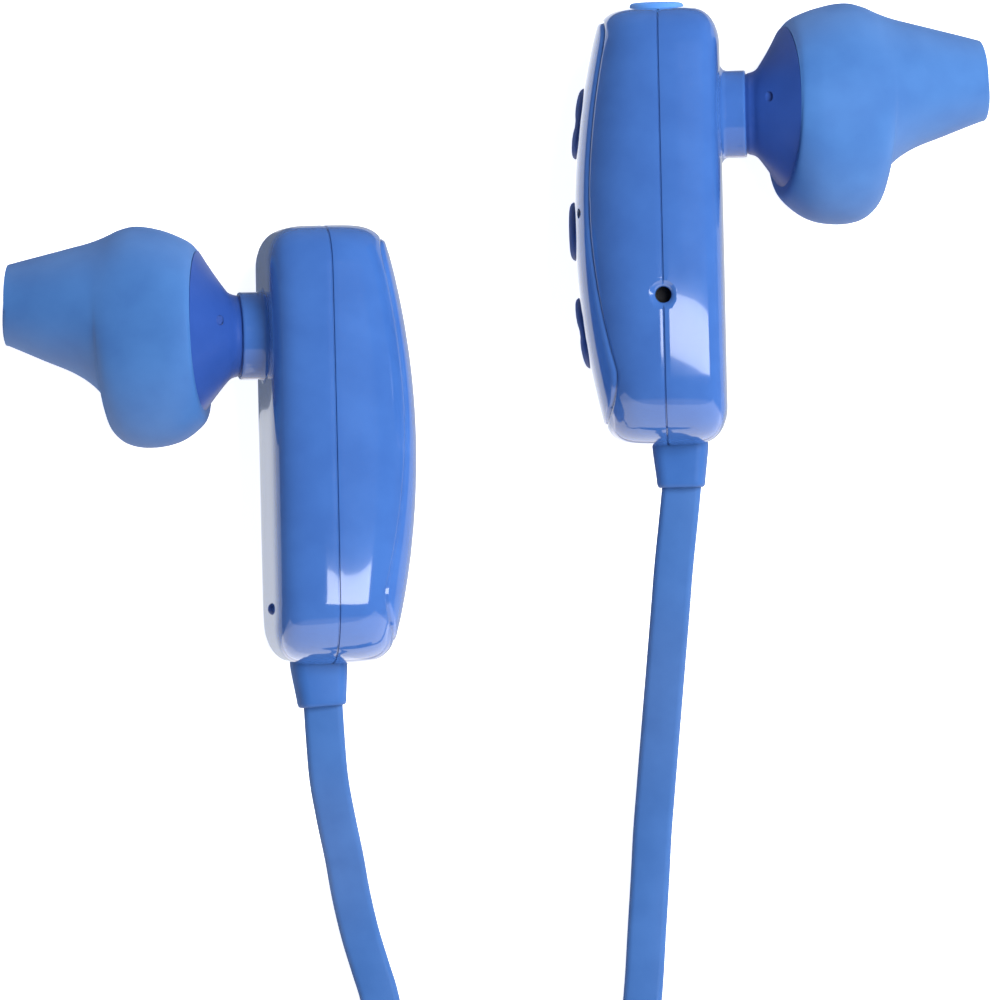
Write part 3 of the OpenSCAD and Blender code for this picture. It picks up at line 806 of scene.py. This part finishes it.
def bud_housing(side):
    """Flared back of the bud, from its neck to the ear tip's seam, with its vent."""
    count = 128
    bore = 1.9
    rings = neck_rings([(bore, -0.1), (3.55, -0.1), (3.57, 0.02), (3.64, 0.1), (3.68, 0.3), (3.78, 0.6),
                        (3.92, 0.82), (NECK_R, 0.95)], count)
    seam = revolve_rings([(BUD_R, -0.06)], count)[0]
    rings += [rings[-1] + (seam - rings[-1]) * t for t in np.linspace(0.1, 1, 12)]
    rings += revolve_rings([(BUD_R - 0.06, 0), (6.0, 0), (5.4, -0.7), (3.4, -1.75)], count)
    rings += neck_rings([(bore, 1.1)], count)
    obj = loft(side + "_bud_housing_skin", rings, bud_place(PODS[side]), 50, tube=True)
    high = 20
    front = Vector(PODS[side].at((*VENT_AT, high))) * MM
    inward = (Vector(PODS[side].at((*VENT_AT, 0))) * MM - front).normalized()
    floor_w = high - (obj.ray_cast(front, inward)[1] - front).length / MM - VENT_DEPTH
    vent = stadium(*VENT_SIZE, 32)
    hole = [[(VENT_AT[0] + u, VENT_AT[1] + v, w) for u, v in vent[:, ::-1]] for w in (floor_w, 12)]
    cut(obj, loft("hole", hole, PODS[side].at), 50)
    return obj


# Ear tip from the seam to its mouth: (s, height) of each ring's top and bottom, then its half depth
TIP_RINGS = [
    (0, 7.2, -0.1, -7.0, 7.15), (0.67, 7.9, 0, -8.2, 7.45), (1.9, 8.5, 1.47, -9.55, 7.72),
    (3.17, 8.93, 3.17, -10.3, 7.75), (4.5, 9.25, 5.4, -10.45, 7.62), (5.8, 9.35, 7.2, -10.0, 7.37),
    (7.1, 9.06, 8.4, -8.9, 7.05), (8.2, 8.6, 8.9, -7.4, 6.72), (9.15, 8.25, 9.1, -5.9, 6.4),
    (10.2, 7.95, 10.3, -4.6, 6.05), (11.56, 7.65, 12.1, -3.5, 5.6), (13.6, 7.2, 14.6, -2.5, 4.95),
    (15.9, 6.7, 16.7, -1.65, 4.25), (17.9, 6.25, 18.1, -1.1, 3.7),
]


def ear_tip(side):
    """Silicone tip: a lobed skin outside, and inside it the bud's hollow and the nozzle's bore."""
    spin = np.linspace(0, 2 * math.pi, 96, endpoint=False)

    def ring(s_top, top, s_low, low, half):
        """Ring from its top and bottom points and its half depth, with the side's own bend."""
        t = (1 + np.cos(spin)) / 2
        s = s_low + (s_top - s_low) * t
        bend = TIP_BEND[side] * np.clip(s / TIP_LENGTH, 0, 1) ** 2 + TIP_LIFT[side] * np.clip(s / 3, 0, 1)
        reach = 1 + TIP_REACH[side] * s / TIP_LENGTH
        return np.stack([half * np.sin(spin), low + (top - low) * t + bend, s * reach], 1)

    def bore(radius, s):
        """Ring round the nozzle's axis, which climbs from its start."""
        middle = NOZZLE_START[0] + (s - NOZZLE_START[1]) * math.tan(math.radians(NOZZLE_UP))
        return ring(s - radius * 0.13, middle + radius, s + radius * 0.13, middle - radius, radius)

    def hollow(radius, s):
        """Ring round the bud's axis."""
        return ring(s, radius, s, -radius, radius)

    mouth = TIP_LENGTH - 0.1
    rings = [hollow(6.72, 0.1), hollow(6.9, 0.03), hollow(7.1, 0.03)]
    rings += [ring(*row) for row in smooth_curve(TIP_RINGS, 5)]
    lip = [(3.6, 0.12), (3.42, 0.04), (3.1, 0), (2.75, 0.05), (2.45, 0.2), (2.26, 0.5), (2.2, 0.9),
           (2.2, 2.5)]
    rings += [bore(radius, mouth - drop) for radius, drop in lip]
    rings += [bore(2.86, 15.3), bore(2.86, 6.6), hollow(4.7, 5.9), hollow(5.6, 5.5), hollow(6.6, 1.2)]
    return loft(side + "_ear_tip_skin", rings, bud_place(PODS[side]), 60, tube=True)


def strain_relief(side):
    """Tapered sleeve that the cable leaves the pod through."""
    lean = math.radians(RELIEF_LEAN[side])
    rings = []
    for run, width, depth, r in RELIEF_SECTIONS:
        flat = round_box(width, depth, r)
        u = RELIEF_U + flat[:, 0] * math.cos(lean) - run * math.sin(lean)
        v = -HALF_HEIGHT + flat[:, 0] * math.sin(lean) + run * math.cos(lean)
        rings.append(np.stack([u, v, flat[:, 1]], 1))
    return loft(side + "_strain_relief_skin", rings, PODS[side].at, 50)


def tactile_nub():
    """Small bump that tells the left side by touch."""
    profile = [(0.15, 0.45), (0.32, 0.39), (0.46, 0.26), (0.54, 0.1), (0.57, -0.1), (0.5, -0.4)]
    rings = [r[:, [2, 0, 1]] + (EAR_SIDE - 0.1, NUB_V, NUB_W) for r in revolve_rings(profile, 32)]
    return loft("left_tactile_nub", rings, LEFT.at, 60)


# ---------- pods ----------

pod_shells = []
for side in PODS:
    outer = outer_shell(side)
    inner = inner_shell(side)
    panel = face_panel(side)
    pod_shells += [outer, inner, panel]
    if side == "right":
        make_controls(panel, outer, inner)
    finish_piece(outer, "pods", "shell_blue", side + "_outer_shell")
    finish_piece(inner, "pods", "shell_blue", side + "_inner_shell")
    finish_piece(panel, "pods", "panel_blue", side + "_face_panel")
    finish_piece(stem(side), "pods", "shell_blue")
    finish_piece(bud_housing(side), "pods", "bud_blue", side + "_bud_housing")
    finish_piece(ear_tip(side), side + "_tip", "tip_silicone", side + "_ear_tip")
    finish_piece(strain_relief(side), "pods", "relief_rubber", side + "_strain_relief")
# The nub is painted in the bud's darker blue rather than the shell's blue: painted shade, for the shade it
# sits in on the pod's ear side.
finish_piece(tactile_nub(), "pods", "bud_blue")


# ---------- stage ----------

FLOOR_GLOW = 0.85
# Key light, in metres and watts, and the softboxes' distance in millimetres and brightness
KEY_AT = (1.0, 0.3, 1.6)
KEY_SIZE = (1.4, 1.4)
KEY_POWER = 75
BOX_FAR = 100
BOX_BRIGHT = 6
# Softboxes: name, spot (u, v) on the pod's front, tilt of the front there and size
SOFTBOXES = [("left_softbox", (-0.75, -12.4), (-5.0, -4.8), (80, 22.0)),
             ("right_softbox", (2.2, -8.9), (16.0, -1.1), (110, 9.2))]
# Pale cards beside the set, in metres: name, brightness, place, aim, size and the pods that alone see it
PALE_CARDS = [("front_card", 0.8, (0, -0.55, -0.135), (0, 0, -0.135), (2.4, 1.33), ("left", "right")),
              ("far_card", 0.35, (0.35, 0, -0.6), (0, 0, 0), (1.0, 0.8), None),
              ("side_card", 0.95, (-0.35, 0, -0.6), (0, 0, 0), (1.0, 0.8), "right"),
              ("left_side_card", 0.5, (-0.35, -0.803, -0.6), (0, -0.803, 0), (1.0, 1.6), "left")]
# Direction of the studio's pale side, and its colour by how far a direction leans that way
PALE_SIDE = (0.05, -1.0, -0.2)
SKY = [(0, (0.13, 0.16, 0.22, 1)), (0.4, (0.18, 0.21, 0.28, 1)), (0.48, (0.72, 0.7, 0.74, 1)),
       (1, (0.78, 0.75, 0.76, 1))]
BACKDROP = (0.9, 0.9, 0.9, 1)


def make_floor():
    """White light table: it glows a little, so shadows on it stay pale."""
    half = 2.0
    corners = [(-half, -half, 0), (half, -half, 0), (half, half, 0), (-half, half, 0)]
    mesh = bpy.data.meshes.new("floor")
    mesh.from_pydata(corners, [], [(0, 1, 2, 3)])
    floor = add_object("floor", mesh)
    floor.location.z = -0.02 * MM
    material = finish("floor_white", (240, 240, 241), (244, 244, 245), (0.7, 0.8), 300, 0.0, specular=0.1)
    shader = material.node_tree.nodes["Principled BSDF"]
    shader.inputs["Emission Color"].default_value = (1, 1, 1, 1)
    shader.inputs["Emission Strength"].default_value = FLOOR_GLOW
    mesh.materials.append(material)
    floor.visible_glossy = False


def area_light(name, at, aim, size, power):
    """Rectangular light at one place, facing another, that the camera doesn't see."""
    data = bpy.data.lights.new(name, "AREA")
    data.shape = "RECTANGLE"
    data.size, data.size_y = size
    data.energy = power
    obj = add_object(name, data)
    back = (Vector(at) - Vector(aim)).normalized()
    upright = Vector((0, 1, 0)) if abs(back.y) < 0.9 else Vector((0, 0, 1))
    across = upright.cross(back).normalized()
    obj.matrix_world = Matrix((across, back.cross(across), back)).transposed().to_4x4()
    obj.location = at
    obj.visible_camera = False
    return obj


def keep_to(light, side):
    """Let only the shells and panels of the given side, or sides, see a light."""
    seen_by = bpy.data.collections.new(light.name + "_seen_by")
    for piece in pod_shells:
        if piece.name.startswith(side):
            seen_by.objects.link(piece)
    light.light_linking.receiver_collection = seen_by


def mirror_box(name, spot, tilt, size):
    """Softbox that a pod's front, tilted there by the given angles in u and v, mirrors upward."""
    side = name.split("_")[0]
    pod = PODS[side]
    slope = [math.tan(math.radians(a)) for a in tilt]
    at = Vector(pod.at((*spot, HALF_DEPTH)))
    facing = (Vector(pod.at((spot[0] + slope[0], spot[1] + slope[1], HALF_DEPTH + 1))) - at).normalized()
    away = 2 * facing.z * facing - Vector((0, 0, 1))
    power = BOX_BRIGHT * math.pi * size[0] * size[1] * MM ** 2
    light = area_light(name, (at + away * BOX_FAR) * MM, at * MM, (size[0] * MM, size[1] * MM), power)
    light.visible_diffuse = False
    keep_to(light, side)


def make_world():
    """Plain pale backdrop; in gloss the studio is pale on the near side and dark blue-grey elsewhere."""
    world = bpy.data.worlds.new("studio")
    world.use_nodes = True
    nodes, links = world.node_tree.nodes, world.node_tree.links
    place = nodes.new("ShaderNodeTexCoord")
    toward = nodes.new("ShaderNodeVectorMath")
    toward.operation = "DOT_PRODUCT"
    toward.inputs[1].default_value = PALE_SIDE
    links.new(place.outputs["Generated"], toward.inputs[0])
    ramp = nodes.new("ShaderNodeValToRGB")
    ramp.color_ramp.elements[0].position, ramp.color_ramp.elements[0].color = SKY[0]
    ramp.color_ramp.elements[1].position, ramp.color_ramp.elements[1].color = SKY[-1]
    for position, colour in SKY[1:-1]:
        ramp.color_ramp.elements.new(position).color = colour
    links.new(toward.outputs["Value"], ramp.inputs["Fac"])
    links.new(ramp.outputs["Color"], nodes["Background"].inputs["Color"])
    backdrop = nodes.new("ShaderNodeBackground")
    backdrop.inputs["Color"].default_value = BACKDROP
    rays = nodes.new("ShaderNodeLightPath")
    mix = nodes.new("ShaderNodeMixShader")
    links.new(rays.outputs["Is Camera Ray"], mix.inputs["Fac"])
    links.new(nodes["Background"].outputs["Background"], mix.inputs[1])
    links.new(backdrop.outputs["Background"], mix.inputs[2])
    links.new(mix.outputs["Shader"], nodes["World Output"].inputs["Surface"])
    bpy.context.scene.world = world


def make_lights():
    """The studio's world, key light, pale cards and softboxes."""
    make_world()
    key = area_light("key", KEY_AT, (0, 0, 0), KEY_SIZE, KEY_POWER)
    key.visible_glossy = False
    for name, bright, at, aim, size, side in PALE_CARDS:
        card = area_light(name, at, aim, size, bright * math.pi * size[0] * size[1])
        card.visible_diffuse = False
        if side:
            keep_to(card, side)
    for box in SOFTBOXES:
        mirror_box(*box)


make_floor()
make_lights()
